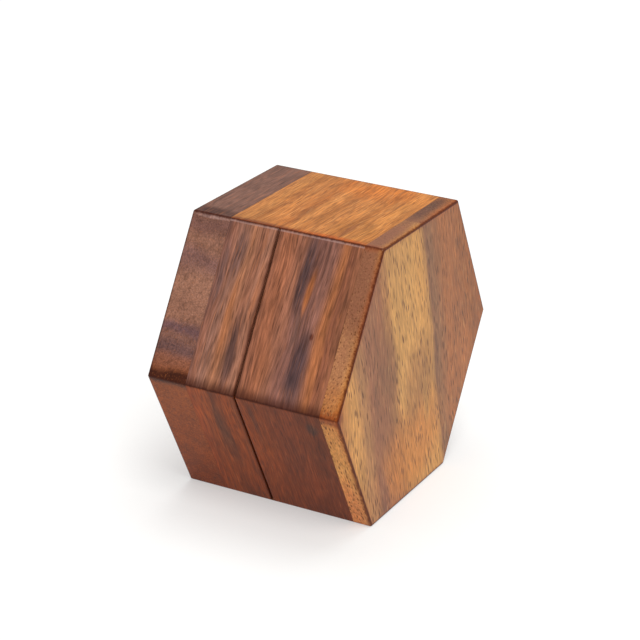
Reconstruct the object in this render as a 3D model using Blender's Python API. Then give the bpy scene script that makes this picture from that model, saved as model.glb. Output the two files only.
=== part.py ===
"""A wooden burr puzzle: a hexagonal block that is four interlocking pieces.

Two halves meet at a seam across the block. Each half is a stack of glued blocks round a
core of sloping slots. A top piece and a bottom piece bridge the seam, and each holds two
tongues at 45 degrees that run in those slots. Pulling the halves apart therefore lifts the
top piece and leaves the bottom piece behind, all four moving at once.

The frame: X runs from the left end to the right end, Z is up, and the origin is under the
middle of the block, on the surface that it stands on. Outlines are measured from the core
centre, where the seam crosses the block's middle line.
"""

import math

import bmesh
import bpy
from mathutils import Vector

# Driving dimensions, in metres.
ACROSS_FLATS = 0.080  # the hexagon's height, from the resting face to the top face
LENGTH = 0.057  # from the left end to the right end
SEAM_FROM_LEFT = 0.0265  # from the left end to the seam between the halves
LEFT_PLATE = 0.0117  # thickness of the left end plate
RIGHT_PLATE = 0.0054  # thickness of the right end plate
CORE_WIDTH = 0.030  # the core's width, from front to back
TONGUE = 0.006  # a tongue's thickness, square to its slope
TONGUE_FOOT = 0.0045  # how far a tongue's glued foot reaches from the seam
FIT_GAP = 0.0003  # between two neighbouring faces, glued or sliding
SEAM_GAP = 0.00045  # between the two halves
ARRIS = 0.0008  # rounding of the outside edges
SEAM_BEVEL = 0.0004  # bevel of the edges along the seam
ARRIS_STEPS = 3  # facets in a rounded edge
SAW_ALLOWANCE = 0.006  # how far a block is left proud before the outside is trimmed

# What follows from them.
SIDE = ACROSS_FLATS / math.sqrt(3)
CORE_X = SEAM_FROM_LEFT - LENGTH / 2
CORE_Z = ACROSS_FLATS / 2
END_FROM_SEAM = {"left": SEAM_FROM_LEFT, "right": LENGTH - SEAM_FROM_LEFT}
PLATE_FROM_SEAM = {
    "left": SEAM_FROM_LEFT - LEFT_PLATE,
    "right": LENGTH - SEAM_FROM_LEFT - RIGHT_PLATE,
}
CORE_HALF_WIDTH = CORE_WIDTH / 2
CORE_TOP = CORE_HALF_WIDTH * math.sqrt(3)  # the mitres run down to the core's corners here
SLOT_DEPTH = PLATE_FROM_SEAM["left"]  # the tongues reach the left plate, and as far right
TONGUE_RISE = TONGUE * math.sqrt(2)  # a tongue's thickness, measured upright
GUIDE_PEAK = CORE_TOP - (TONGUE_RISE - TONGUE_FOOT)
HALF_GAP = FIT_GAP / 2

# Which way each word points along its axis.
ENDS = {"left": -1, "right": 1}
LEVELS = {"upper": 1, "lower": -1}
FACES = {"front": -1, "back": 1}

# Finishes: sRGB colour and roughness.
GOLDEN_TOP = ("#C88C55", 0.30)
DARK_END = ("#5E4036", 0.32)
RED_BROWN = ("#7A4630", 0.30)
DEEP_RED_BROWN = ("#6A3526", 0.30)
TAN_END = ("#B98A50", 0.32)
RAW_CORE = ("#A87A50", 0.65)


def clear_scene():
    """Remove every object that the file opened with."""
    for obj in list(bpy.data.objects):
        bpy.data.objects.remove(obj)


def linear(channel):
    """One sRGB channel as linear light."""
    if channel <= 0.04045:
        return channel / 12.92
    return ((channel + 0.055) / 1.055) ** 2.4


def wood(name, finish):
    """A Principled material of one colour and roughness."""
    colour, roughness = finish
    channels = [int(colour[i : i + 2], 16) / 255 for i in (1, 3, 5)]
    material = bpy.data.materials.new(name)
    material.use_nodes = True
    shader = material.node_tree.nodes["Principled BSDF"]
    shader.inputs["Base Color"].default_value = [linear(c) for c in channels] + [1.0]
    shader.inputs["Roughness"].default_value = roughness
    shader.inputs["Metallic"].default_value = 0.0
    material.diffuse_color = [*channels, 1.0]
    return material


def inset_outline(points, gaps):
    """Move each edge of a convex outline inwards by its own gap; edge i starts at point i."""
    points = [Vector(point) for point in points]
    count = len(points)
    area = sum(points[i - 1].cross(points[i]) for i in range(count))
    turn = math.copysign(1.0, area)
    edges = []
    for i in range(count):
        run = (points[(i + 1) % count] - points[i]).normalized()
        inwards = Vector((-run.y, run.x)) * turn
        edges.append((points[i] + inwards * gaps[i], run))
    corners = []
    for i in range(count):
        start, run = edges[i]
        other, other_run = edges[i - 1]
        along = (other - start).cross(other_run) / run.cross(other_run)
        corners.append(start + run * along)
    return corners


def hexagon(side):
    """A regular hexagon in Y and Z, with corners to the front and back."""
    return [
        (side * math.cos(i * math.pi / 3), side * math.sin(i * math.pi / 3))
        for i in range(6)
    ]


def extruded_mesh(name, outline, low, high, axis):
    """Extrude an outline along X (outline in Y, Z) or along Y (outline in X, Z)."""
    bm = bmesh.new()
    if axis == "X":
        corners = [(low, u, v) for u, v in outline]
        run = Vector((high - low, 0, 0))
    else:
        corners = [(u, low, v) for u, v in outline]
        run = Vector((0, high - low, 0))
    face = bm.faces.new([bm.verts.new(corner) for corner in corners])
    extruded = bmesh.ops.extrude_face_region(bm, geom=[face])["geom"]
    moved = [item for item in extruded if isinstance(item, bmesh.types.BMVert)]
    bmesh.ops.translate(bm, verts=moved, vec=run)
    bmesh.ops.recalc_face_normals(bm, faces=bm.faces)
    mesh = bpy.data.meshes.new(name)
    bm.to_mesh(mesh)
    bm.free()
    return mesh


def add_node(name, mesh, body, finish):
    """Add one named wooden piece to a body's empty."""
    obj = bpy.data.objects.new(name, mesh)
    mesh.materials.append(wood(f"{name}_wood", finish))
    bpy.context.collection.objects.link(obj)
    obj.parent = body
    return obj


def add_body(name):
    """An empty at the core centre, which the sliding directions of all four pieces cross."""
    empty = bpy.data.objects.new(name, None)
    empty.empty_display_size = SIDE / 2
    empty.location = (CORE_X, 0, CORE_Z)
    bpy.context.collection.objects.link(empty)
    return empty


def add_envelope(name, low, high, seam_ends):
    """The finished outside as a hidden cutter, from low to high along X.

    seam_ends lists the ends that are a seam, which get the small bevel; the other edges get
    the rounded arris.
    """
    mesh = extruded_mesh(name, hexagon(SIDE), low, high, "X")
    bm = bmesh.new()
    bm.from_mesh(mesh)

    def lies_at(edge, end):
        return all(abs(vert.co.x - end) < HALF_GAP for vert in edge.verts)

    rounded = [edge for edge in bm.edges if not any(lies_at(edge, end) for end in seam_ends)]
    bmesh.ops.bevel(
        bm,
        geom=rounded,
        offset=ARRIS,
        segments=ARRIS_STEPS,
        profile=0.5,
        affect="EDGES",
        clamp_overlap=True,
    )
    bevelled = [edge for edge in bm.edges if any(lies_at(edge, end) for end in seam_ends)]
    if bevelled:
        bmesh.ops.bevel(
            bm, geom=bevelled, offset=SEAM_BEVEL, segments=1, affect="EDGES", clamp_overlap=True
        )
    bmesh.ops.recalc_face_normals(bm, faces=bm.faces)
    bm.to_mesh(mesh)
    bm.free()
    envelope = bpy.data.objects.new(name, mesh)
    envelope.location = (CORE_X, 0, CORE_Z)
    envelope.hide_render = True
    envelope.display_type = "WIRE"
    bpy.context.collection.objects.link(envelope)
    return envelope


def trim_outside(obj, envelope):
    """Cut a block's outside back to the finished hexagon."""
    cut = obj.modifiers.new("trim outside", "BOOLEAN")
    cut.operation = "INTERSECT"
    cut.solver = "EXACT"
    cut.object = envelope


def add_end_plate(end, body, envelope, finish):
    """A whole hexagonal slice across the end of a half."""
    way = ENDS[end]
    inner = way * (PLATE_FROM_SEAM[end] + HALF_GAP)
    outer = way * (END_FROM_SEAM[end] + SAW_ALLOWANCE)
    outline = hexagon(SIDE + SAW_ALLOWANCE)
    name = f"{end}_end_plate"
    mesh = extruded_mesh(name, outline, inner, outer, "X")
    trim_outside(add_node(name, mesh, body, finish), envelope)


def add_side_block(end, level, face, body, envelope, finish):
    """One of the four blocks that wrap the core: a mitre, the mid plane and the core's side."""
    across = FACES[face]
    up = LEVELS[level]
    side = SIDE + SAW_ALLOWANCE
    outline = [
        (across * CORE_HALF_WIDTH, 0),
        (across * side, 0),
        (across * side / 2, up * side * math.sqrt(3) / 2),
        (across * CORE_HALF_WIDTH, up * CORE_TOP),
    ]
    outline = inset_outline(outline, (HALF_GAP, 0, HALF_GAP, HALF_GAP))
    way = ENDS[end]
    seam = way * SEAM_GAP / 2
    plate = way * (PLATE_FROM_SEAM[end] - HALF_GAP)
    name = f"{end}_{level}_{face}_block"
    mesh = extruded_mesh(name, outline, seam, plate, "X")
    trim_outside(add_node(name, mesh, body, finish), envelope)


def add_bridge_block(name, up, body, envelope, finish):
    """The top or bottom block: mitred sides, and a flat underside that the tongues hang from."""
    side = SIDE + SAW_ALLOWANCE
    outline = [
        (-CORE_HALF_WIDTH, up * CORE_TOP),
        (-side / 2, up * side * math.sqrt(3) / 2),
        (side / 2, up * side * math.sqrt(3) / 2),
        (CORE_HALF_WIDTH, up * CORE_TOP),
    ]
    outline = inset_outline(outline, (HALF_GAP, 0, HALF_GAP, HALF_GAP))
    low = -PLATE_FROM_SEAM["left"] + HALF_GAP
    high = PLATE_FROM_SEAM["right"] - HALF_GAP
    mesh = extruded_mesh(name, outline, low, high, "X")
    trim_outside(add_node(name, mesh, body, finish), envelope)


def add_core_piece(name, outline, gaps, body):
    """A piece of the core: an outline in X and Z, as wide as the core less its clearance."""
    reach = CORE_HALF_WIDTH - HALF_GAP
    mesh = extruded_mesh(name, inset_outline(outline, gaps), -reach, reach, "Y")
    add_node(name, mesh, body, RAW_CORE)


def add_centre_guide(end, body):
    """The piece between the two slots of a half, widest at the seam."""
    way = ENDS[end]
    far = way * SLOT_DEPTH
    outline = [
        (0, -GUIDE_PEAK),
        (far, SLOT_DEPTH - GUIDE_PEAK),
        (far, GUIDE_PEAK - SLOT_DEPTH),
        (0, GUIDE_PEAK),
    ]
    gaps = (HALF_GAP, HALF_GAP, HALF_GAP, SEAM_GAP / 2)
    add_core_piece(f"{end}_centre_guide", outline, gaps, body)


def add_wedge(end, level, body):
    """The triangular piece that closes a slot on the side away from the guide."""
    way = ENDS[end]
    up = LEVELS[level]
    outline = [
        (way * TONGUE_FOOT, up * CORE_TOP),
        (way * SLOT_DEPTH, up * (GUIDE_PEAK - SLOT_DEPTH + TONGUE_RISE)),
        (way * SLOT_DEPTH, up * CORE_TOP),
    ]
    add_core_piece(f"{end}_{level}_wedge", outline, [HALF_GAP] * 3, body)


def add_tongue(name, way, up, body):
    """A slab at 45 degrees, with its foot on the top or bottom block."""
    outline = [
        (0, up * GUIDE_PEAK),
        (way * SLOT_DEPTH, up * (GUIDE_PEAK - SLOT_DEPTH)),
        (way * SLOT_DEPTH, up * (GUIDE_PEAK - SLOT_DEPTH + TONGUE_RISE)),
        (way * TONGUE_FOOT, up * CORE_TOP),
        (0, up * CORE_TOP),
    ]
    add_core_piece(name, outline, [HALF_GAP] * 5, body)


def add_packing_block(body):
    """The solid block that fills the right half's core between the slots and the end plate."""
    low = SLOT_DEPTH
    high = PLATE_FROM_SEAM["right"]
    outline = [(low, -CORE_TOP), (high, -CORE_TOP), (high, CORE_TOP), (low, CORE_TOP)]
    add_core_piece("right_packing_block", outline, [HALF_GAP] * 4, body)


def add_half(end, plate_finish):
    """A left or right half: its plate, four side blocks and the pieces of its core."""
    body = add_body(f"{end}_half")
    way = ENDS[end]
    seam = way * SEAM_GAP / 2
    envelope = add_envelope(f"{end}_envelope", seam, way * END_FROM_SEAM[end], [seam])
    add_end_plate(end, body, envelope, plate_finish)
    for level in LEVELS:
        finish = RED_BROWN if level == "upper" else DEEP_RED_BROWN
        for face in FACES:
            add_side_block(end, level, face, body, envelope, finish)
        add_wedge(end, level, body)
    add_centre_guide(end, body)
    if end == "right":
        add_packing_block(body)


def add_bridge(word, up, envelope, finish):
    """The top or bottom piece: its block and its two tongues."""
    body = add_body(f"{word}_piece")
    add_bridge_block(f"{word}_block", up, body, envelope, finish)
    for end, way in ENDS.items():
        add_tongue(f"{word}_{end}_tongue", way, up, body)


clear_scene()
add_half("left", DARK_END)
add_half("right", TAN_END)
whole = add_envelope("whole_envelope", -END_FROM_SEAM["left"], END_FROM_SEAM["right"], [])
add_bridge("top", 1, whole, GOLDEN_TOP)
add_bridge("bottom", -1, whole, GOLDEN_TOP)
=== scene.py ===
# %% [markdown]
# # A hexagonal wooden burr puzzle
# The real puzzle is a palm-sized block of lacquered tropical hardwood. It is glued up from
# boards of different colour and sawn to a hexagon. It parts into four pieces: a left half, a
# right half, and a top and a bottom piece whose sloping tongues lock the halves together.
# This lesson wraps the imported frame, which holds the true sizes, in surfaces worked out with
# numpy, and gives each board its own procedural wood.

import math

import bpy
import numpy as np
from mathutils import Matrix, Vector


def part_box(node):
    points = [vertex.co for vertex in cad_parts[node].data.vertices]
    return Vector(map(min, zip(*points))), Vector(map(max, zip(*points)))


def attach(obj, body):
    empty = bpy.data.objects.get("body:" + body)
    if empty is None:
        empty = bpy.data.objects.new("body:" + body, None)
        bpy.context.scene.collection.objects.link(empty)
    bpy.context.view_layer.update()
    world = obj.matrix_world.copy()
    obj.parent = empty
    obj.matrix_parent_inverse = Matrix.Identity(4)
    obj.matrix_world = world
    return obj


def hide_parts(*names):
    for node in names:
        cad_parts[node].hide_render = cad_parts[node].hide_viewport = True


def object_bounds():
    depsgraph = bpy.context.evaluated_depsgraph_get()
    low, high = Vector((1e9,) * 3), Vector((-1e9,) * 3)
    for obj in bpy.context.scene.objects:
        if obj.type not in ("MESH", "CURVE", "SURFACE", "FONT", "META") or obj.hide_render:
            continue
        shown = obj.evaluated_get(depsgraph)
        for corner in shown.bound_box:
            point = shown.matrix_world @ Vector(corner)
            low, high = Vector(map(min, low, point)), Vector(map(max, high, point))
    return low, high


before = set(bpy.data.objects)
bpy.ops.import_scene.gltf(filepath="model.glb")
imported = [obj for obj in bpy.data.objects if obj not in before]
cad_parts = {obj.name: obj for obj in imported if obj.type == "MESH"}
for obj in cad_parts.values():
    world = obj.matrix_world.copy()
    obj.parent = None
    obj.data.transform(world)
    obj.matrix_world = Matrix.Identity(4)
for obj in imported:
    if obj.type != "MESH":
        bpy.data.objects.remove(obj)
CAD_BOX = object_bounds()
MM = 0.001


def in_mm(*lengths):
    """Lengths in metres as millimetres, rounded for print."""
    return [round(length / MM, 2) for length in lengths]


print("frame box, mm:", [in_mm(*corner) for corner in CAD_BOX])

# %% [markdown]
# ## Sizes from the frame
# Every place is read from the frame's nodes: the ends, the plates' inner faces, the seam and
# the core. The frame keeps a wide clearance between neighbours, because solid modelling needs
# it. The real faces are glued or sanded to a fit, so here each board reaches to a hair from
# the middle of that clearance.

# %% Sizes
LEFT_END, RIGHT_END = CAD_BOX[0].x, CAD_BOX[1].x
APOTHEM = CAD_BOX[1].z / 2  # from the prism's middle line to a face
MID_Z = APOTHEM
PLATE_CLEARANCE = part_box("left_upper_front_block")[0].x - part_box("left_end_plate")[1].x
HALF_CLEARANCE = PLATE_CLEARANCE / 2
LEFT_PLATE_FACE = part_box("left_end_plate")[1].x + HALF_CLEARANCE
RIGHT_PLATE_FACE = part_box("right_end_plate")[0].x - HALF_CLEARANCE
LEFT_SEAM_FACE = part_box("left_upper_front_block")[1].x
RIGHT_SEAM_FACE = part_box("right_upper_front_block")[0].x
SEAM_X = (LEFT_SEAM_FACE + RIGHT_SEAM_FACE) / 2
CORE_HALF_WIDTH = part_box("top_left_tongue")[1].y + HALF_CLEARANCE
CORE_TOP = CORE_HALF_WIDTH * math.sqrt(3)
SLOT_DEPTH = SEAM_X - LEFT_PLATE_FACE  # each slot runs in from the seam's middle
SEAM_CLEARANCE = RIGHT_SEAM_FACE - LEFT_SEAM_FACE
SLOPE_STEP = HALF_CLEARANCE * math.sqrt(2)  # half the clearance of a 45 degree slope, upright
GUIDE_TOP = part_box("left_centre_guide")[1].z - MID_Z
GUIDE_PEAK = GUIDE_TOP + SLOPE_STEP + SEAM_CLEARANCE / 2  # where the slopes meet the seam

ARRIS = 0.7 * MM  # radius of the sanded long edges
END_ARRIS = 0.6 * MM  # radius round the two ends
SEAM_ARRIS = 0.35 * MM  # radius along the seam between the halves
GLUE_LINE = 0.03 * MM  # between two glued boards
LEFT_BLOCK_END = LEFT_PLATE_FACE + GLUE_LINE / 2
RIGHT_BLOCK_END = RIGHT_PLATE_FACE - GLUE_LINE / 2
print("plates at", in_mm(LEFT_PLATE_FACE, RIGHT_PLATE_FACE), "seam at", in_mm(SEAM_X))

# %% [markdown]
# ## The camera
# The block is seen from the front, a little from the right and above, through a long lens,
# so that its parallel edges stay almost parallel.

# %% Camera
CAMERA_AZIMUTH = 27.05  # degrees from straight in front, towards the right end
CAMERA_HEIGHT_ANGLE = 22.09  # degrees above level
CAMERA_ROLL = 1.93  # degrees, anticlockwise seen from behind the camera
CAMERA_DISTANCE = 0.6184  # metres, from the lens to its aim
CAMERA_AIM = (-1.84 * MM, 1.50 * MM, 45.36 * MM)
CAMERA_LENS = 125.4  # millimetres, on a 36 mm sensor


def turned(angle, axis):
    """A rotation matrix of so many degrees about X, Y or Z."""
    return Matrix.Rotation(math.radians(angle), 4, axis)


def add_camera():
    """Back off along the lens's own axis, then roll, tilt, turn and move to the aim."""
    data = bpy.data.cameras.new("camera")
    data.lens = CAMERA_LENS
    camera = bpy.data.objects.new("camera", data)
    camera.matrix_world = (
        Matrix.Translation(CAMERA_AIM)
        @ turned(CAMERA_AZIMUTH, "Z")
        @ turned(90 - CAMERA_HEIGHT_ANGLE, "X")
        @ turned(CAMERA_ROLL, "Z")
        @ Matrix.Translation((0, 0, CAMERA_DISTANCE))
    )
    bpy.context.collection.objects.link(camera)
    bpy.context.scene.camera = camera


add_camera()
print("camera at", [round(v, 4) for v in bpy.context.scene.camera.matrix_world.translation])

# %% [markdown]
# ## Two helpers
# One helper adds a shader node of any kind, and one turns a colour's hex code, as a screen
# shows it, into the linear light that a shader works in.

# %% One helper for nodes, one for colours


def node(tree, kind, inputs, **settings):
    """Add a shader node, set its properties, and feed its inputs a value or another output."""
    made = tree.nodes.new(f"ShaderNode{kind}")
    for key, value in settings.items():
        setattr(made, key, value)
    for key, value in inputs.items():
        if isinstance(value, bpy.types.NodeSocket):
            tree.links.new(value, made.inputs[key])
        else:
            made.inputs[key].default_value = value
    return made


def colour(code):
    """An sRGB hex colour as linear RGBA: c / 12.92 when dark, else ((c + 0.055) / 1.055) ^ 2.4."""
    channels = np.array([int(code[i : i + 2], 16) for i in (1, 3, 5)]) / 255
    low, high = channels / 12.92, ((channels + 0.055) / 1.055) ** 2.4
    return (*np.where(channels <= 0.04045, low, high).tolist(), 1.0)


WHITE = colour("#FFFFFF")
print("white:", WHITE, "middle grey:", [round(part, 3) for part in colour("#808080")])

# %% [markdown]
# ## The light and the table
# A studio for a small glossy object is a big softbox above, soft window light from the front
# and right, and a bright room, over a white light table. The table's own glow keeps the
# shadow faint.

# %% Softbox, window and room

SOFTBOX_PLACE = Vector((0.0, 0.12, 1.1))  # metres
SOFTBOX_AIM = Vector((0, 0, 0.04))
SOFTBOX_SIZE = 0.7  # metres square
SOFTBOX_POWER = 4.5  # watts
WINDOW_POWER = 1.55  # watts on a square metre
WINDOW_SPREAD = 28  # degrees of sky that the light comes from, which softens its shadows
WINDOW_TILT, WINDOW_TURN = 32, 40  # degrees down from overhead, and from the front to the right
ROOM_POWER = 0.46  # strength of the white light from all round

softbox = bpy.data.lights.new("overhead_softbox", "AREA")
softbox.size = SOFTBOX_SIZE
softbox.energy = SOFTBOX_POWER
overhead = bpy.data.objects.new("overhead_softbox", softbox)
overhead.location = SOFTBOX_PLACE
overhead.rotation_euler = (SOFTBOX_AIM - SOFTBOX_PLACE).to_track_quat("-Z", "Y").to_euler()
bpy.context.collection.objects.link(overhead)

sun = bpy.data.lights.new("window_light", "SUN")
sun.energy = WINDOW_POWER
sun.angle = math.radians(WINDOW_SPREAD)
window = bpy.data.objects.new("window_light", sun)
window.rotation_euler = (math.radians(WINDOW_TILT), 0, math.radians(WINDOW_TURN))
bpy.context.collection.objects.link(window)

world = bpy.data.worlds.new("bright_room")
world.use_nodes = True
bpy.context.scene.world = world
world.node_tree.nodes["Background"].inputs["Color"].default_value = WHITE
world.node_tree.nodes["Background"].inputs["Strength"].default_value = ROOM_POWER
bpy.context.scene.view_settings.view_transform = "Standard"
print("lights:", softbox.name, SOFTBOX_POWER, sun.name, WINDOW_POWER, "room:", ROOM_POWER)

# %% Light table

TABLE_REACH = 10.0  # metres from the block to the table's edge, out of sight
TABLE_GLOW = 0.38
TABLE_ROUGHNESS = 0.9


def add_floor():
    """A wide white light table, which glows a little from below and keeps shadows faint."""
    mesh = bpy.data.meshes.new("floor")
    reach = TABLE_REACH
    corners = [(-reach, -reach, 0), (reach, -reach, 0), (reach, reach, 0), (-reach, reach, 0)]
    mesh.from_pydata(corners, [], [(0, 1, 2, 3)])
    floor = bpy.data.objects.new("floor", mesh)
    bpy.context.collection.objects.link(floor)
    acrylic = bpy.data.materials.new("white_opal_acrylic")
    acrylic.use_nodes = True
    shader = acrylic.node_tree.nodes["Principled BSDF"]
    shader.inputs["Base Color"].default_value = colour("#CACAC8")
    shader.inputs["Roughness"].default_value = TABLE_ROUGHNESS
    shader.inputs["Emission Color"].default_value = WHITE
    shader.inputs["Emission Strength"].default_value = TABLE_GLOW
    mesh.materials.append(acrylic)
    return floor


table = add_floor()
print("table of", table.active_material.name, 2 * TABLE_REACH, "m wide")

# %% [markdown]
# ## Lacquered hardwood
# The boards are an oily, strongly figured tropical hardwood of the rain-tree and rosewood
# sort: orange to red-brown heart with purple-black streaks, pale tan sapwood, and long open
# pores that read as short dark dashes. A few coats of lacquer deepen the colour and give a
# soft gloss. Lacquer gathers on the arrises, where it looks darker.
#
# A board is a solid, so its figure is worked out in three dimensions from Object coordinates,
# turned into the board's own axes: along the grain, across the bands, and through the board.
# Everything in wood is drawn out along the grain, so each layer is a noise stretched to the
# real length and width of what it shows: bands some millimetres wide, streaks of about 1 mm,
# flecks under half a millimetre, fibres and pores. The finest fibres of the real wood are
# about 0.15 mm wide, and are drawn near 0.3 mm, which is the finest that still shows.

# %% The board's own axes

NOISE_ROUGHNESS = 0.55  # each finer octave's share of the one before
SEED_WAY = (1.0, 2.3, 4.1)  # a seed shifts a noise this way, so that no two boards are alike
SEEDS = {"dark": 11, "light": 23, "fibres": 37, "mottle": 41, "figure": 47, "arris": 53,
         "crowd": 59}  # added to a board's seed, so that each layer has its own noise
BAND_DRIFT = (40 * MM, 12 * MM, 1.0)  # the slow bend of the bands: length, width, detail
DRIFT_LOW, DRIFT_HIGH = 0.2, 0.8  # where that noise pushes fully to one side or the other


def stretched_noise(tree, board, length, width, detail, seed):
    """Noise of (place / size + seed), sized by a streak's length and by its width across."""
    scale = (1 / length, 1 / width, 1 / width)
    shift = [seed * step for step in SEED_WAY]
    place = node(tree, "VectorMath", {0: board, 1: scale, 2: shift}, operation="MULTIPLY_ADD")
    settings = {
        "Vector": place.outputs[0],
        "Scale": 1.0,
        "Detail": detail,
        "Roughness": NOISE_ROUGHNESS,
    }
    return node(tree, "TexNoise", settings).outputs[0]


def board_axes(tree, along, across):
    """The place in the board's axes, as dot products with its grain, band and depth ways."""
    along = np.array(along, float) / np.linalg.norm(along)
    across = np.array(across, float) / np.linalg.norm(across)
    through = np.cross(along, across)
    place = node(tree, "TexCoord", {}).outputs["Object"]
    centred = node(tree, "VectorMath", {0: place, 1: (0, 0, MID_Z)}, operation="SUBTRACT")
    parts = [
        node(tree, "VectorMath", {0: centred.outputs[0], 1: way.tolist()}, operation="DOT_PRODUCT")
        for way in (along, across, through)
    ]
    return [part.outputs["Value"] for part in parts]


def wandering_board(tree, along, across, wave, seed):
    """The board's place, with a slow noise pushing its bands from side to side by a wave."""
    grain, band, depth = board_axes(tree, along, across)
    straight = node(tree, "CombineXYZ", {0: grain, 1: band, 2: depth}).outputs[0]
    swing = {
        "Value": stretched_noise(tree, straight, *BAND_DRIFT, seed),
        "From Min": DRIFT_LOW,
        "From Max": DRIFT_HIGH,
        "To Min": -wave,
        "To Max": wave,
    }
    push = node(tree, "MapRange", swing).outputs[0]
    wandered = node(tree, "Math", {0: band, 1: push}, operation="ADD").outputs[0]
    board = node(tree, "CombineXYZ", {0: grain, 1: wandered, 2: depth}).outputs[0]
    return board, wandered


print("bands bend over", in_mm(BAND_DRIFT[0]), "mm of grain")

# %% [markdown]
# ## Bands and marks
# A board's bands are a colour ramp across it. On top come single soft marks, such as one dark
# vein or one warm patch, each with its own place and size on the board.

# %% Bands and single marks

MARK_FULL, MARK_END = 0.35, 1.2  # shares of a mark's half sizes


def mixed(tree, factor, under, over):
    """The over colour laid on the under colour by a factor."""
    mix = node(tree, "Mix", {0: factor, 6: under, 7: over}, data_type="RGBA")
    return mix.outputs[2]


def banded_colour(tree, value, bands):
    """Colour by place across the board: bands is a list of (millimetres, hex colour)."""
    low, high = bands[0][0] * MM, bands[-1][0] * MM
    share = node(tree, "MapRange", {"Value": value, "From Min": low, "From Max": high})
    ramp = node(tree, "ValToRGB", {"Fac": share.outputs[0]})
    ramp.color_ramp.interpolation = "EASE"
    elements = ramp.color_ramp.elements
    elements[0].color = colour(bands[0][1])
    elements[1].color = colour(bands[-1][1])
    for place, code in bands[1:-1]:
        stop = elements.new((place * MM - low) / (high - low))
        stop.color = colour(code)
    return ramp.outputs[0]


def with_mark(tree, board, shade, centre, half, code, strength):
    """One soft mark in the wood: an ellipsoid by its centre and half sizes in millimetres.

    Its strength falls smoothly with the length of (place - centre) / half, from all of it at
    MARK_FULL to nothing at MARK_END.
    """
    scale = [1 / (size * MM) for size in half]
    shift = [-place / size for place, size in zip(centre, half)]
    reach = node(tree, "VectorMath", {0: board, 1: scale, 2: shift}, operation="MULTIPLY_ADD")
    far = node(tree, "VectorMath", {0: reach.outputs[0]}, operation="LENGTH").outputs["Value"]
    fade = {
        "Value": far,
        "From Min": MARK_FULL,
        "From Max": MARK_END,
        "To Min": strength,
        "To Max": 0.0,
    }
    share = node(tree, "MapRange", fade, interpolation_type="SMOOTHSTEP")
    return mixed(tree, share.outputs[0], shade, colour(code))


print("a mark is full to", MARK_FULL, "and gone at", MARK_END, "of its half sizes")

# %% [markdown]
# ## Streaks and figure
# Dark streaks run through the heart, and pale flecks show where the fibres turn up and catch
# the light. Over them lies the figure: fine fibres, broad clouds and the short curls of the
# grain, which only lighten and darken the colour that is there.

# %% Streaks, flecks and figure

HEART_STREAKS = (18 * MM, 1.3 * MM, 5.0, 0.46)  # length, width, detail, level where they start
FLECKS = (6 * MM, 0.4 * MM, 3.0, 0.50)
STREAK_PEAK = 0.78  # level of the noise where a streak or fleck is full
FIGURE_LOW, FIGURE_HIGH = 0.3, 0.7  # levels where the figure darkens and lightens most


def with_streaks(tree, board, shade, kind, code, share, seed):
    """Lay a colour on the peaks of a stretched noise."""
    length, width, detail, start = kind
    peaks = stretched_noise(tree, board, length, width, detail, seed)
    rise = {"Value": peaks, "From Min": start, "From Max": STREAK_PEAK, "To Max": share}
    laid = node(tree, "MapRange", rise, interpolation_type="SMOOTHSTEP")
    return mixed(tree, laid.outputs[0], shade, colour(code))


def with_figure(tree, shade, layers):
    """Lighten and darken a colour by the product of (1 + swing * noise) over the layers."""
    level = 1.0
    for layer, swing in layers:
        swung = {
            "Value": layer,
            "From Min": FIGURE_LOW,
            "From Max": FIGURE_HIGH,
            "To Min": 1 - swing,
            "To Max": 1 + swing,
        }
        factor = node(tree, "MapRange", swung).outputs[0]
        level = node(tree, "Math", {0: level, 1: factor}, operation="MULTIPLY").outputs[0]
    return node(tree, "VectorMath", {0: shade, "Scale": level}, operation="SCALE").outputs[0]


print("streaks and flecks are", in_mm(HEART_STREAKS[1], FLECKS[1]), "mm wide")

# %% [markdown]
# ## Pores and arrises
# The pores are open vessels, cut lengthwise into short dark dashes. Along an arris the
# lacquer gathers in a narrow dark rim with a ragged border, and on some boards in a wider and
# warmer one beside it.

# %% Pores and arrises

PORE_CELL = (5.0 * MM, 0.7 * MM, 0.7 * MM)  # one open pore in each such cell of the wood
PORE_FULL, PORE_END = 0.18, 0.34  # distances from a cell's point, as shares of the cell
PORE_CROWDS = (30 * MM, 7 * MM, 1.0)  # the clouds that gather the pores: length, width, detail
CROWD_LOW, CROWD_HIGH = 0.3, 0.5  # levels of that noise where the pores are faintest, strongest
FAINTEST, STRONGEST = 0.3, 1.1  # and their strength there, as shares of the board's own
RAGS = (3 * MM, 0.8 * MM, 2.0)  # the ragged border of a rim: length, width, detail
RAG_DEPTH = 0.9 * MM


def open_pores(tree, board, share, seed):
    """Short dashes along the grain: the hearts of Voronoi cells stretched along it.

    A pore fades from full at PORE_FULL of its cell to nothing at PORE_END. A slow noise
    strengthens the pores in some parts of the board and thins them in others.
    """
    scale = [1 / size for size in PORE_CELL]
    shift = (seed, seed, seed)
    cells = node(tree, "VectorMath", {0: board, 1: scale, 2: shift}, operation="MULTIPLY_ADD")
    heart = node(tree, "TexVoronoi", {"Vector": cells.outputs[0], "Scale": 1.0}).outputs[0]
    crowd = {
        "Value": stretched_noise(tree, board, *PORE_CROWDS, seed + SEEDS["crowd"]),
        "From Min": CROWD_LOW,
        "From Max": CROWD_HIGH,
        "To Min": FAINTEST * share,
        "To Max": STRONGEST * share,
    }
    pore = {
        "Value": heart,
        "From Min": PORE_FULL,
        "From Max": PORE_END,
        "To Min": node(tree, "MapRange", crowd).outputs[0],
        "To Max": 0.0,
    }
    return node(tree, "MapRange", pore).outputs[0]


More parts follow.
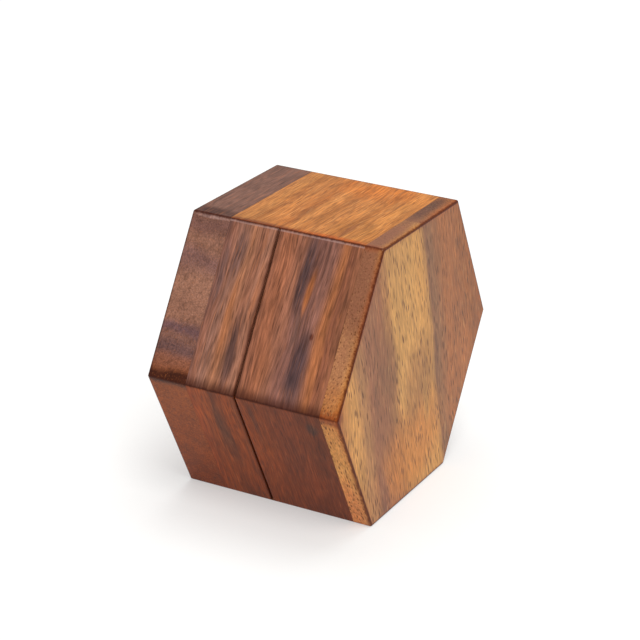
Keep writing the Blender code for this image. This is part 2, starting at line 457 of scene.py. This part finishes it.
def with_arrises(tree, board, shade, code, share, reach, seed):
    """Gathered lacquer that fades out over a reach from an arris, with a ragged border.

    Each piece's own "edge" attribute is the distance to its nearest arris, in metres. From it
    goes a noise times RAG_DEPTH, and the rim fades as the rest grows from -reach to reach.
    """
    edge = node(tree, "Attribute", {}, attribute_name="edge").outputs["Fac"]
    ragged = stretched_noise(tree, board, *RAGS, seed)
    rest = node(tree, "Math", {0: ragged, 1: -RAG_DEPTH, 2: edge}, operation="MULTIPLY_ADD")
    fade = {
        "Value": rest.outputs[0],
        "From Min": -reach,
        "From Max": reach,
        "To Min": share,
        "To Max": 0.0,
    }
    rim = node(tree, "MapRange", fade, interpolation_type="SMOOTHSTEP")
    return mixed(tree, rim.outputs[0], shade, colour(code))


print("a pore is up to", round(2 * PORE_END * PORE_CELL[0] / MM, 1), "mm long")

# %% [markdown]
# ## The finish, and the wood as a whole
# Lacquer bridges the fibres but sinks a little into each pore, so both leave a faint relief
# under its gloss. One function then puts a whole wood together from all the layers above.

# %% The finish, and the wood as a whole

FIBRES = (5 * MM, 0.28 * MM, 2.0)  # length, width, detail
CLOUDS = (14 * MM, 6 * MM, 2.0)
CURLS = (6 * MM, 0.5 * MM, 4.0)
FIBRE_SWING = 0.22  # how much the fibres lighten and darken the wood
RELIEF = 0.03 * MM
RELIEF_STRENGTH = 0.5
GLOSS_SWING = 0.06  # roughness varies this much over the clouds
COAT_ROUGHNESS = 0.12
LACQUER_IOR = 1.5
RIM_REACH = 0.42 * MM
GLOW_REACH = 1.5 * MM
PLAIN = {
    "dark": "#2E1714",  # purple-black heart streaks
    "dark_share": 0.75,
    "light": "#B56A38",  # orange flecks
    "light_share": 0.55,
    "pore": "#2A130C",
    "pore_share": 0.35,
    "figure": 0.38,  # how much the short curls of the grain lighten and darken the wood
    "mottle": 0.14,  # how much the broad clouds do
    "wave": 4.0,  # how far the bands wander, in millimetres
    "edge": "#3C1408",  # lacquer gathered on an arris
    "edge_share": 0.88,
    "glow": "#8A3A0C",  # thinner lacquer beside it
    "glow_share": 0.0,
    "coat": 0.3,
    "shine": 0.02,  # specular level of the oily wood under the lacquer, which does the shining
    "roughness": 0.38,
}


def lacquered(tree, shade, fibres, pores, mottle, look):
    """Finish a colour. The height of its relief is the fibres less the pores."""
    sunk = node(tree, "Math", {0: fibres, 1: pores}, operation="SUBTRACT").outputs[0]
    relief = {"Height": sunk, "Distance": RELIEF, "Strength": RELIEF_STRENGTH}
    gloss = {
        "Value": mottle,
        "To Min": look["roughness"] - GLOSS_SWING,
        "To Max": look["roughness"] + GLOSS_SWING,
    }
    finish = {
        "Base Color": shade,
        "Roughness": node(tree, "MapRange", gloss).outputs[0],
        "Normal": node(tree, "Bump", relief).outputs[0],
        "IOR": LACQUER_IOR,
        "Specular IOR Level": look["shine"],
        "Coat Weight": look["coat"],
        "Coat Roughness": COAT_ROUGHNESS,
        "Coat IOR": LACQUER_IOR,
    }
    shader = node(tree, "BsdfPrincipled", finish)
    tree.links.new(shader.outputs[0], tree.nodes["Material Output"].inputs["Surface"])


def wood(name, along, across, bands, seed, marks=(), lacquer_and_painted_light=(), **looks):
    """A hardwood: bands, then marks, streaks, flecks, figure, pores and arrises over them.

    along and across are the ways of the grain and the bands. bands and marks are in the
    board's own axes, in millimetres. The last list of marks is laid over the streaks and pores:
    lacquer that fills them, and on the upper front blocks a painted highlight and a band of
    painted shade along the arrises. looks changes a few of PLAIN's values.
    """
    look = {**PLAIN, **looks}
    material = bpy.data.materials.new(name)
    material.use_nodes = True
    tree = material.node_tree
    tree.nodes.remove(tree.nodes["Principled BSDF"])
    board, wandered = wandering_board(tree, along, across, look["wave"] * MM, seed)
    shade = banded_colour(tree, wandered, bands)
    for mark in marks:
        shade = with_mark(tree, board, shade, *mark)
    for kind, word in ((HEART_STREAKS, "dark"), (FLECKS, "light")):
        share = look[f"{word}_share"]
        shade = with_streaks(tree, board, shade, kind, look[word], share, seed + SEEDS[word])
    fibres = stretched_noise(tree, board, *FIBRES, seed + SEEDS["fibres"])
    mottle = stretched_noise(tree, board, *CLOUDS, seed + SEEDS["mottle"])
    figure = stretched_noise(tree, board, *CURLS, seed + SEEDS["figure"])
    layers = ((fibres, FIBRE_SWING), (mottle, look["mottle"]), (figure, look["figure"]))
    shade = with_figure(tree, shade, layers)
    pores = open_pores(tree, board, look["pore_share"], seed)
    shade = mixed(tree, pores, shade, colour(look["pore"]))
    for mark in lacquer_and_painted_light:
        shade = with_mark(tree, board, shade, *mark)
    for code, share, reach in (
        (look["glow"], look["glow_share"], GLOW_REACH),
        (look["edge"], look["edge_share"], RIM_REACH),
    ):
        shade = with_arrises(tree, board, shade, code, share, reach, seed + SEEDS["arris"])
    lacquered(tree, shade, fibres, pores, mottle, look)
    return material


print("a wood is made from", len(PLAIN), "looks over its own bands and marks")

# %% [markdown]
# ## The faces of the rounded hexagon
# All the outside blocks are slices of one shape, as they are on the real thing, where the
# glued blank is sawn and sanded as a whole. A slice takes one face of the hexagon, and half
# of the rounding of the arris on each side of it, so the glue lines run along the arrises.
#
# Each point also stores its distance to the nearest arris, in the "edge" attribute that the
# finish reads. The surfaces are cut finer near their edges, so that it changes smoothly there.

# %% A face in its own axes

FACES = {  # direction of each face's outward normal, degrees from the back towards the top
    "upper_back": 30,
    "top": 90,
    "upper_front": 150,
    "lower_front": 210,
    "bottom": 270,
    "lower_back": 330,
}
LOWER_FACES = ("lower_front", "bottom", "lower_back")
CORNER_TURN = 30  # degrees from a face's middle to its end
NEAR_EDGE = np.array([0.15, 0.4, 0.8, 1.4, 2.2, 3.5, 6.0]) * MM  # where a surface is cut finer
ARC_STEPS = 6
CLEAN_ARRIS = 0.3 * MM  # added to the edge of the lower faces, which keep less lacquer there
CLEAN_SEAM = 0.2 * MM  # added at the seam's lips, which also keep less
DEEP = 20 * MM  # the edge attribute of a surface inside the block


def graded(low, high, steps=9):
    """Places from low to high: evenly spaced, but at NEAR_EDGE's distances near both ends.

    Those distances are used up to a third of the whole.
    """
    near = NEAR_EDGE[NEAR_EDGE < (high - low) / 3]
    middle = np.linspace(low + near[-1], high - near[-1], steps)
    return np.concatenate([[low], low + near[:-1], middle, (high - near[:-1])[::-1], [high]])


def direction(degrees):
    """The unit vector in Y and Z at an angle from the back towards the top."""
    return np.array([math.cos(math.radians(degrees)), math.sin(math.radians(degrees))])


def face_chain(face, inset):
    """The outer line of a slice, and each point's distance from the nearest arris.

    With w along the face and h out from the middle: the flat is h = apothem - inset between
    the two arc centres at w = (apothem - arris) tan 30, and each end turns 30 degrees on a
    radius of arris - inset, which stops on the line from the middle to the hexagon's corner.
    The distance is apothem tan 30 - |w|.
    """
    slope = math.tan(math.radians(CORNER_TURN))
    reach = (APOTHEM - ARRIS) * slope
    turn = np.radians(np.linspace(0, CORNER_TURN, ARC_STEPS))[1:]
    arc_w = reach + (ARRIS - inset) * np.sin(turn)
    arc_h = APOTHEM - ARRIS + (ARRIS - inset) * np.cos(turn)
    flat_w = graded(-reach, reach)
    w = np.concatenate([-arc_w[::-1], flat_w, arc_w])
    h = np.concatenate([arc_h[::-1], np.full(len(flat_w), APOTHEM - inset), arc_h])
    out = direction(FACES[face])
    side = direction(FACES[face] + 90)
    edge = np.clip(APOTHEM * slope - np.abs(w), 0, None)
    if face in LOWER_FACES:
        edge = edge + CLEAN_ARRIS
    return h[:, None] * out + w[:, None] * side, edge


def block_outline(face, inset):
    """A block's whole outline: its outer line, and two inner corners on the core.

    The inner corner on each joint line is where that line meets the core's side, half the
    core's width from the middle. Both ends then step back by half a glue line.
    """
    chain, edge = face_chain(face, inset)
    ways = [FACES[face] + CORNER_TURN, FACES[face] - CORNER_TURN]
    core = [CORE_HALF_WIDTH / abs(direction(way)[0]) * direction(way) for way in ways]
    outline = np.vstack([chain, core])
    step = GLUE_LINE / 2
    outline[[len(chain) - 1, len(chain)]] -= step * direction(ways[0] + 90)
    outline[[0, len(chain) + 1]] += step * direction(ways[1] + 90)
    return outline, np.concatenate([edge, [DEEP, DEEP]])


print("points in a block's outline:", len(block_outline("top", 0)[0]))

# %% [markdown]
# ## Rings
# Every piece here is a stack of closed rings that runs along one axis, skinned with quads and
# closed at both ends.

# %% From rings to a mesh

SHARP_FROM = 30  # degrees between neighbouring quads, from which the edge between shows


def ring_mesh(name, rings, edge):
    """Skin a stack of closed rings with quads and close each end with one face.

    rings is stack by points by XYZ, and edge holds the edge attribute of each point. Quad
    (i, j) joins points j and j + 1 of rings i and i + 1, the last point wrapping round to the
    first.
    """
    stack, points = rings.shape[:2]
    index = np.arange(stack * points).reshape(stack, points)
    beside = np.roll(index, -1, axis=1)
    quads = np.stack([index[:-1], beside[:-1], beside[1:], index[1:]], axis=-1).reshape(-1, 4)
    faces = [*quads.tolist(), index[0, ::-1].tolist(), index[-1].tolist()]
    mesh = bpy.data.meshes.new(name)
    mesh.from_pydata(rings.reshape(-1, 3).tolist(), [], faces)
    stored = mesh.attributes.new("edge", "FLOAT", "POINT")
    stored.data.foreach_set("value", np.broadcast_to(edge, (stack, points)).ravel())
    mesh.shade_smooth()
    mesh.set_sharp_from_angle(angle=math.radians(SHARP_FROM))
    mesh.validate()
    return mesh


def stacked(x, outline):
    """A ring: an outline in Y and Z, lifted to the prism's middle line, at a place along X."""
    return np.column_stack([np.full(len(outline), x), outline[:, 0], outline[:, 1] + MID_Z])


def add_piece(mesh, name, body, material):
    """Put a finished piece in the scene: it replaces the frame's node of the same name."""
    mesh.materials.append(material)
    piece = bpy.data.objects.new(f"{name}_wood", mesh)
    bpy.context.collection.objects.link(piece)
    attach(piece, body)
    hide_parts(name)
    return piece


print("a ring at the seam:", stacked(SEAM_X, block_outline("top", 0)[0]).shape)

# %% [markdown]
# ## Blocks and plates
# A block is carried along X as a stack of rings. At the seam each half has its own small
# rounded edge, a quarter circle in the inset of the outer line. Where a block meets an end
# plate it is cut square and glued flush. A plate's outer end closes on its middle in ever
# smaller rings, so that its edge attribute is true all over the end.

# %% Blocks

SEAM_FACE_SHARE = 0.94  # size of the seam face's plain middle


def block_mesh(name, face, low, high, seam=None):
    """A block from low to high along X; seam names the end that has the small rounding.

    Round the seam, inset = r (1 - sin t) at r (1 - cos t) from the end, for t from 0 to 90
    degrees. The seam's face ends in a ring drawn in towards its middle.
    """
    turn = np.radians(np.linspace(0, 90, ARC_STEPS))
    curve_in = SEAM_ARRIS * (1 - np.sin(turn))
    curve_x = SEAM_ARRIS * (1 - np.cos(turn))
    x = graded(low, high)
    inset = np.zeros(len(x))
    if seam == "low":
        x = np.concatenate([low + curve_x, graded(low + SEAM_ARRIS, high)[1:]])
        inset = np.concatenate([curve_in, np.zeros(len(x) - len(turn))])
    elif seam == "high":
        x = np.concatenate([graded(low, high - SEAM_ARRIS)[:-1], (high - curve_x)[::-1]])
        inset = np.concatenate([np.zeros(len(x) - len(turn)), curve_in[::-1]])
    rings, edges = [], []
    for place, step in zip(x, inset):
        outline, edge = block_outline(face, step)
        from_seam = {"low": place - low, "high": high - place, None: DEEP}[seam] + CLEAN_SEAM
        rings.append(stacked(place, outline))
        edges.append(np.minimum(edge, from_seam))
    if seam:
        last, at = (0, 0) if seam == "low" else (-1, len(rings))
        middle = rings[last].mean(axis=0)
        rings.insert(at, middle + (rings[last] - middle) * SEAM_FACE_SHARE)
        edges.insert(at, np.full(len(edges[0]), DEEP))
    return ring_mesh(name, np.array(rings), np.array(edges))


BLOCK_LENGTHS = LEFT_SEAM_FACE - LEFT_BLOCK_END, RIGHT_BLOCK_END - RIGHT_SEAM_FACE
print("side blocks are", in_mm(*BLOCK_LENGTHS), "mm long, left and right")

# %% Plates

WALL_STEPS = 4  # even steps between the graded ones across a plate's thickness
END_RINGS = 8  # rings over the plain middle of a plate's end
END_MIDDLE = MM  # the last of them stops this far from the middle line


def plate_mesh(name, inner, outer):
    """An end plate: the whole rounded hexagon, and its end as rings that close on the middle.

    Near the outer end the outline is inset on a quarter circle. On the end itself each ring
    is the last outline, scaled so that its flats lie a chosen distance further in.
    """
    way = math.copysign(1, outer - inner)
    thick = abs(outer - inner)
    turn = np.radians(np.linspace(0, 90, ARC_STEPS))
    wall = graded(0, thick - END_ARRIS, WALL_STEPS)[:-1]
    walls = np.concatenate([wall, thick - END_ARRIS + END_ARRIS * np.sin(turn)])
    insets = np.concatenate([np.zeros(len(walls) - len(turn)), END_ARRIS * (1 - np.cos(turn))])
    rings, edges = [], []
    for depth, inset in zip(walls, insets):
        chains = [face_chain(face, inset) for face in FACES]
        outline = np.vstack([chain[:-1] for chain, _ in chains])
        edge = np.concatenate([edge[:-1] for _, edge in chains])
        rings.append(stacked(inner + way * depth, outline))
        edges.append(np.minimum(edge, thick - depth))
    flat = APOTHEM - END_ARRIS
    plain = np.linspace(NEAR_EDGE[-1], flat - END_MIDDLE, END_RINGS)[1:]
    for depth in np.concatenate([NEAR_EDGE, plain]):
        rings.append(stacked(outer, outline * (1 - depth / flat)))
        edges.append(np.full(len(outline), depth + END_ARRIS))
    order = slice(None) if way > 0 else slice(None, None, -1)
    return ring_mesh(name, np.array(rings)[order], np.array(edges)[order])


PLATES = LEFT_PLATE_FACE - LEFT_END, RIGHT_END - RIGHT_PLATE_FACE
print("plates are", in_mm(*PLATES), "mm thick, left and right")

# %% [markdown]
# ## Side blocks
# The side blocks' grain runs round the hexagon, along each face, and their bands lie one
# beside the other along X. The numbers of bands and marks are millimetres. A mark on a front
# face has three for its centre: the first runs from -23 at the face's upper arris to 23 at
# its lower one, the second is X, and the third is 40 on the surface.

# %% Side blocks

GRAIN = {face: (0, *direction(angle + 90)) for face, angle in FACES.items()}
ALONG_PRISM = (1, 0, 0)

LEFT_BLOCK_BANDS = {
    "upper_front": [(-17, "#6C4A42"), (-15, "#8A5A48"), (-12, "#8E6352"), (-9, "#A26C50"),
                    (-6, "#905E48"), (-4, "#9C6A54"), (-2, "#8E5A44")],
    "lower_front": [(-17, "#86390E"), (-12, "#843C12"), (-9, "#682F10"), (-6, "#843A0E"),
                    (-2, "#70320E")],
    "upper_back": [(-17, "#86563F"), (-12, "#6C4636"), (-8, "#94644A"), (-2, "#7A5040")],
    "lower_back": [(-17, "#6C3A24"), (-11, "#8A4A26"), (-7, "#74402A"), (-2, "#86462A")],
}
RIGHT_BLOCK_BANDS = {
    "upper_front": [(-2, "#8C5842"), (2, "#9C6044"), (6, "#94604A"), (10, "#865A4E"),
                    (15, "#8E6052"), (19, "#A0623E"), (21, "#84503A"), (23, "#8C583F")],
    "lower_front": [(-2, "#843A10"), (2, "#7A3610"), (8, "#6C3014"), (14, "#703216"),
                    (20, "#642C12"), (23, "#6A3014")],
    "upper_back": [(-2, "#7A5040"), (5, "#94644A"), (10, "#6C4636"), (16, "#8A5A40"),
                   (23, "#7C4A34")],
    "lower_back": [(-2, "#86462A"), (6, "#5E3424"), (13, "#74402A"), (23, "#582E20")],
}
ALL = 500  # a half size that reaches right through a board
PAINTED_ARRIS_SHADE = ((24, 0, 40), (4.0, ALL, ALL), "#3C1408", 0.75)  # painted shade, a wide soft dark band above the lower arris of the upper front faces
PAINTED_HIGHLIGHT_LINE = ((-22.5, 0, 40), (0.32, ALL, ALL), "#B8948C", 0.5)  # painted highlight, a thin pale line just below the upper arris
LOW_WARMTH = ((24, 0, 40), (26, ALL, ALL), "#7A3008", 0.4)  # redder lower down
SEED_STEP = 7.3  # between one block's seed and the next
MARKS = {
    "left_upper_front_block": [
        ((-14, -11.5, 40), (8, 2.2, ALL), "#4A3A3C", 0.55),
        ((-8, -15.0, 40), (11, 1.1, ALL), "#5E4E50", 0.5),
        ((12, -6.3, 40), (12, 1.9, ALL), "#443436", 0.7),
        ((4, -9.5, 40), (14, 1.3, ALL), "#A86438", 0.45),
        ((-4, -3.6, 40), (10, 0.9, ALL), "#AC6A48", 0.5),
    ],
    "right_upper_front_block": [
        ((-12, 8.5, 40), (14, 1.9, ALL), "#463638", 0.85),
        ((2, 10.5, 40), (8, 1.6, ALL), "#5A443E", 0.5),
        ((12, 13.8, 40), (12, 3.2, ALL), "#46363A", 0.85),
        ((-8, 11.2, 40), (7, 1.0, ALL), "#C0703A", 0.75),
        ((3.2, 15.8, 40), (1.2, 0.8, ALL), "#4A1A10", 0.8),
        ((5, 18.5, 40), (12, 1.6, ALL), "#B06C44", 0.55),
        ((14, 4.5, 40), (7, 2.4, ALL), "#9C5E3C", 0.4),
    ],
    "left_lower_front_block": [
        ((-6, -9.5, 40), (12, 2.0, ALL), "#54301F", 0.6),
        LOW_WARMTH,
    ],
    "right_lower_front_block": [
        ((-17, 20, 40), (3, 2.5, ALL), "#3E2820", 0.75),
        ((-14, 1.5, 40), (10, 1.0, ALL), "#4A261A", 0.6),
        LOW_WARMTH,
    ],
}

for half, low, high, seam, bands in (
    ("left", LEFT_BLOCK_END, LEFT_SEAM_FACE, "high", LEFT_BLOCK_BANDS),
    ("right", RIGHT_SEAM_FACE, RIGHT_BLOCK_END, "low", RIGHT_BLOCK_BANDS),
):
    for number, face in enumerate(bands):
        name = f"{half}_{face}_block"
        seed = number * SEED_STEP + low / MM
        lower = face in LOWER_FACES
        finish = wood(
            f"{name}_lacquered_heartwood",
            GRAIN[face],
            ALONG_PRISM,
            bands[face],
            seed,
            MARKS.get(name, ()),
            # the upper front blocks get a painted highlight below the upper arris and a band of
            # painted shade above the lower one
            (PAINTED_HIGHLIGHT_LINE, PAINTED_ARRIS_SHADE) if face == "upper_front" else (),
            wave=1.5,
            dark_share=0.35 if lower else 0.5,
            light_share=0.2 if lower else 0.3,
            figure=0.28 if lower else 0.34,
        )
        mesh = block_mesh(name, face, low, high, seam)
        add_piece(mesh, name, f"{half}_half", finish)
        print(name, len(mesh.polygons), "faces")

# %% [markdown]
# ## Top and bottom boards
# One golden board bridges the seam above, and its twin below. Its sapwood is the lightest
# wood on the block, with brown streaks and a rim that the lacquer turns burnt orange. Its
# grain runs from back to front. The first number of a mark grows towards the front on the
# top board, and towards the back on the bottom one.

# %% Top and bottom

TOP_BANDS = [(-17, "#B4723A"), (-14, "#C07C3E"), (-11.5, "#A8662E"), (-9, "#BC763A"),
             (-5, "#B46E34"), (-2.5, "#A8622A"), (0, "#C47E40"), (3, "#B06C32"),
             (7, "#BE783C"), (10.5, "#C07A3C"), (13, "#B26C30"), (15, "#BE783A"),
             (19, "#CC8440"), (23, "#BA7436")]
TOP_MARKS = [((14, 15, 40), (10, 10, ALL), "#A8682C", 0.4),
             ((22.8, 14, 40), (2.2, 16, ALL), "#B8560C", 0.85),
             ((23, -10, 40), (2.0, 17, ALL), "#6A2C0C", 0.75),
             ((15, 14.2, 40), (8, 1.0, ALL), "#864E2A", 0.75),
             ((8, -2.2, 40), (16, 0.7, ALL), "#8E5226", 0.6),
             ((2, -10.5, 40), (14, 0.9, ALL), "#94582C", 0.5),
             ((-10, 4, 40), (12, 1.2, ALL), "#A05E2A", 0.5),
             ((-6, 16.5, 40), (9, 1.0, ALL), "#A05E2A", 0.5),
             ((-18, 8, 40), (10, 14, ALL), "#C26A22", 0.6)]
for word, seed in (("top", 31.0), ("bottom", 57.0)):
    name = f"{word}_block"
    finish = wood(
        f"{name}_lacquered_sapwood",
        GRAIN[word],
        ALONG_PRISM,
        TOP_BANDS,
        seed,
        TOP_MARKS,
        wave=1.6,
        dark="#94582C",
        dark_share=0.45,
        light="#DCA468",
        light_share=0.35,
        pore="#6A3A1C",
        pore_share=0.4,
        figure=0.3,
        edge="#6B2A0C",
    )
    mesh = block_mesh(name, word, LEFT_BLOCK_END, RIGHT_BLOCK_END)
    add_piece(mesh, name, f"{word}_piece", finish)
    print(name, len(mesh.polygons), "faces")

# %% [markdown]
# ## End plates
# The left plate is dark heartwood. Its grain lies level from front to back, and its bands lie
# one above the other, so a mark's numbers are Y, height over the middle, and X. The right
# plate is the show face: a slice whose grain stands nearly upright, with a pale yellow band
# and a grey-brown one that lean a little to the back as they run down.
#
# On the right plate a mark's first number runs up the grain, and the second towards the back.
# The third runs from about -23 where the plate is glued to -28.5 on its end. Marks that are
# set between, and only a few millimetres deep, colour its long sides and hardly its end.

# %% Left plate

LEFT_PLATE_SEED = 83.0
LEFT_PLATE_BANDS = [(-40, "#76300A"), (-20, "#803A10"), (-3, "#8A441A"), (1.5, "#884C2E"),
                    (5, "#88543F"), (8, "#664844"), (10.5, "#7A5448"), (12.5, "#684A4A"),
                    (15, "#906451"), (24, "#946854"), (29, "#7A564E"), (33, "#8A604E"),
                    (37, "#7A544A"), (40, "#785345")]
# The first mark is painted shade at the front corner, beside the lower arris of the front faces,
# and the second is a painted highlight just below the upper arris.
LEFT_PLATE_MARKS = [((-45.2, 0.8, 0), (2.5, 2.4, ALL), "#341108", 0.9),
                    ((-23.5, 39.4, -22), (0.32, 3, 6), "#B8948C", 0.5),
                    ((-21, 40.5, 0), (3.4, 1.6, ALL), "#3A1A10", 0.75)]
left_finish = wood(
    "left_end_plate_lacquered_heartwood",
    (0, 1, 0),
    (0, 0, 1),
    LEFT_PLATE_BANDS,
    LEFT_PLATE_SEED,
    LEFT_PLATE_MARKS,
    wave=1.6,
    dark_share=0.4,
    light_share=0.3,
    pore_share=0.2,
    figure=0.26,
    mottle=0.18,
)
mesh = plate_mesh("left_end_plate", LEFT_PLATE_FACE - GLUE_LINE / 2, LEFT_END)
add_piece(mesh, "left_end_plate", "left_half", left_finish)
print("left_end_plate", len(mesh.polygons), "faces")

# %% Right plate

RIGHT_PLATE_SEED = 101.0
RIGHT_PLATE_LEAN = 16.6  # degrees from upright, the top towards the front
RIGHT_PLATE_BANDS = [(-44, "#B87236"), (-37, "#CC904C"), (-31, "#B07A4A"), (-25, "#965F40"),
                     (-17, "#98603E"), (-12, "#AC7440"), (-9, "#CC9450"), (0, "#CC9450"),
                     (8.5, "#C88E4A"), (10.5, "#B88248"), (12.5, "#86583A"),
                     (15, "#90603E"), (17.5, "#9A6038"), (20, "#A46234"),
                     (29, "#A26032"), (36, "#9C5A2A"), (44, "#9C582A")]
RIGHT_PLATE_MARKS = [
    ((-25, -6, 0), (17, 22, ALL), "#C67A34", 0.8),
    ((-6, 1, 0), (14, 10, ALL), "#A06A3A", 0.7),
    ((41, 3, -24.8), (5, 11, 3.7), "#7C4A28", 0.5),
    ((8, -14, 0), (14, 6, ALL), "#865638", 0.75),
    ((-28, -25, 0), (14, 3, ALL), "#74483A", 0.6),
    ((-16, 4, 0), (9, 3, ALL), "#C08A44", 0.5),
    ((40, -10, -24.8), (20, 30, 3.7), "#8A5840", 0.95),
    ((20, -34, -24.8), (12, 14, 3.7), "#A06A4C", 0.75),
    ((16, -41, -24.8), (6, 6, 3.7), "#A8642E", 0.6),
    ((38, 24, -24.4), (12, 15, 3.3), "#5E3C30", 0.95),
    ((-24, -35, -24.8), (17, 14, 3.7), "#D07C44", 0.8),
    ((2, -42, -24.8), (16, 10, 3.7), "#C88848", 0.6),
    ((13, -44.3, 0), (2.8, 3, ALL), "#7A300C", 0.75),
]
RIGHT_PLATE_FILLED = [
    ((40, -10, -24.8), (20, 30, 3.7), "#8A5840", 0.55),
    ((20, -34, -24.8), (12, 14, 3.7), "#A06A4C", 0.35),
]
right_finish = wood(
    "right_end_plate_lacquered_sapwood",
    (0, *direction(RIGHT_PLATE_LEAN + 90)),
    (0, *direction(RIGHT_PLATE_LEAN)),
    RIGHT_PLATE_BANDS,
    RIGHT_PLATE_SEED,
    RIGHT_PLATE_MARKS,
    RIGHT_PLATE_FILLED,
    wave=1.6,
    dark="#7A4E34",
    dark_share=0.35,
    light="#DDB070",
    light_share=0.25,
    pore="#5A3218",
    pore_share=0.85,
    figure=0.26,
    edge="#4A1A0A",
    glow="#9A440E",
    glow_share=0.85,
)
mesh = plate_mesh("right_end_plate", RIGHT_PLATE_FACE + GLUE_LINE / 2, RIGHT_END)
add_piece(mesh, "right_end_plate", "right_half", right_finish)
print("right_end_plate", len(mesh.polygons), "faces")

# %% [markdown]
# ## The core
# Inside, each half holds two slots at 45 degrees between a centre guide and two wedges, and
# the top and bottom pieces hold the tongues that run in them. These faces are sawn, sanded
# and rubbed with a little wax, not lacquered, because the pieces have to slide.

# %% Core pieces

SLIDING_FIT = 0.06 * MM  # each core piece stands back by this from the ideal line
EASED = 0.3 * MM  # its edges are broken with a stroke of sandpaper
EASED_STEPS = 2
CORE_BANDS = [(-15, "#A87C52"), (-6, "#B88A5C"), (4, "#A0744C"), (15, "#B08256")]


def flat_cross(first, second):
    """The cross product of two flat vectors: x1 y2 - y1 x2."""
    return first[..., 0] * second[..., 1] - first[..., 1] * second[..., 0]


def inset_outline(points, gap):
    """Move every edge of a convex outline inwards by a gap.

    Each corner becomes the meeting point of its two moved edges: start + run * t, where t
    is the cross product of the offset between the edges with the other's run, over the
    cross product of the two runs.
    """
    points = np.array(points, float)
    after = np.roll(points, -1, axis=0)
    run = (after - points) / np.linalg.norm(after - points, axis=1)[:, None]
    turn = np.sign(np.sum(flat_cross(points, after)))
    start = points + turn * gap * np.column_stack([-run[:, 1], run[:, 0]])
    before, before_run = np.roll(start, 1, axis=0), np.roll(run, 1, axis=0)
    share = flat_cross(before - start, before_run) / flat_cross(run, before_run)
    return start + run * share[:, None]


def core_mesh(name, outline):
    """Carry an outline in X and Z, measured from the seam's middle, across the core in Y."""
    outline = inset_outline(outline, SLIDING_FIT)
    if np.sum(flat_cross(outline, np.roll(outline, -1, axis=0))) > 0:
        outline = outline[::-1]
    reach = CORE_HALF_WIDTH - SLIDING_FIT
    rings = [
        np.column_stack([outline[:, 0] + SEAM_X, np.full(len(outline), y), outline[:, 1] + MID_Z])
        for y in (-reach, reach)
    ]
    return ring_mesh(name, np.array(rings), DEEP)


def add_core_piece(name, body, outline, grain, seed):
    """One waxed core piece; its bands lie side by side across the core, its edges are eased."""
    finish = wood(
        f"{name}_waxed_hardwood",
        grain,
        (0, 1, 0),
        CORE_BANDS,
        seed,
        dark="#7A4E32",
        dark_share=0.5,
        light="#CDA274",
        light_share=0.35,
        pore="#5A3A24",
        coat=0.0,
        roughness=0.55,
    )
    piece = add_piece(core_mesh(name, outline), name, body, finish)
    eased = piece.modifiers.new("eased edges", "BEVEL")
    eased.width = EASED
    eased.segments = EASED_STEPS
    eased.limit_method = "ANGLE"


print("core pieces reach", in_mm(CORE_HALF_WIDTH - SLIDING_FIT), "mm to each side")

# %% [markdown]
# ## Guides, wedges and tongues
# Every slope is at 45 degrees, so a slot that runs in by its depth falls by as much. Heights
# are from the prism's middle line, and up is 1 for what lies above it and -1 for its mirror
# image below. way is 1 for the right half and -1 for the left.

# %% Guides, wedges, tongues and the packing block

UPRIGHT = (0, 0, 1)
CORE_SEEDS = {"guide": 3.1, "wedge": 5.7, "tongue": 9.3, "packing": 15.0}
TONGUE_FOOT = SEAM_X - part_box("left_upper_wedge")[1].x - HALF_CLEARANCE - SLOPE_STEP
TONGUE_RISE = CORE_TOP - GUIDE_PEAK + TONGUE_FOOT  # a tongue's thickness, measured upright
slot_low = GUIDE_PEAK - SLOT_DEPTH  # height of a tongue's underside where it meets the plate
slot_high = slot_low + TONGUE_RISE
for number, (end, way) in enumerate({"left": -1, "right": 1}.items()):
    near = way * SEAM_CLEARANCE / 2
    far = way * SLOT_DEPTH
    guide = [(near, -GUIDE_PEAK), (far, -slot_low), (far, slot_low), (near, GUIDE_PEAK)]
    seed = CORE_SEEDS["guide"] + number
    add_core_piece(f"{end}_centre_guide", f"{end}_half", guide, UPRIGHT, seed)
    for level, up in {"upper": 1, "lower": -1}.items():
        wedge = [(way * TONGUE_FOOT, up * CORE_TOP), (far, up * slot_high), (far, up * CORE_TOP)]
        slope = (way, 0, -up)
        seed = CORE_SEEDS["wedge"] + number + up
        add_core_piece(f"{end}_{level}_wedge", f"{end}_half", wedge, slope, seed)
        word = {1: "top", -1: "bottom"}[up]
        tongue = [(0, up * GUIDE_PEAK), (far, up * slot_low), (far, up * slot_high),
                  (way * TONGUE_FOOT, up * CORE_TOP), (0, up * CORE_TOP)]
        seed = CORE_SEEDS["tongue"] + number + up
        add_core_piece(f"{word}_{end}_tongue", f"{word}_piece", tongue, slope, seed)

# The right half is longer than its slots, and a plain block packs the rest of its core.
plate = RIGHT_PLATE_FACE - SEAM_X
packing = [(SLOT_DEPTH, -CORE_TOP), (plate, -CORE_TOP), (plate, CORE_TOP), (SLOT_DEPTH, CORE_TOP)]
add_core_piece("right_packing_block", "right_half", packing, UPRIGHT, CORE_SEEDS["packing"])
print("slots are", in_mm(SLOT_DEPTH), "mm deep, tongues rise", in_mm(TONGUE_RISE), "mm")
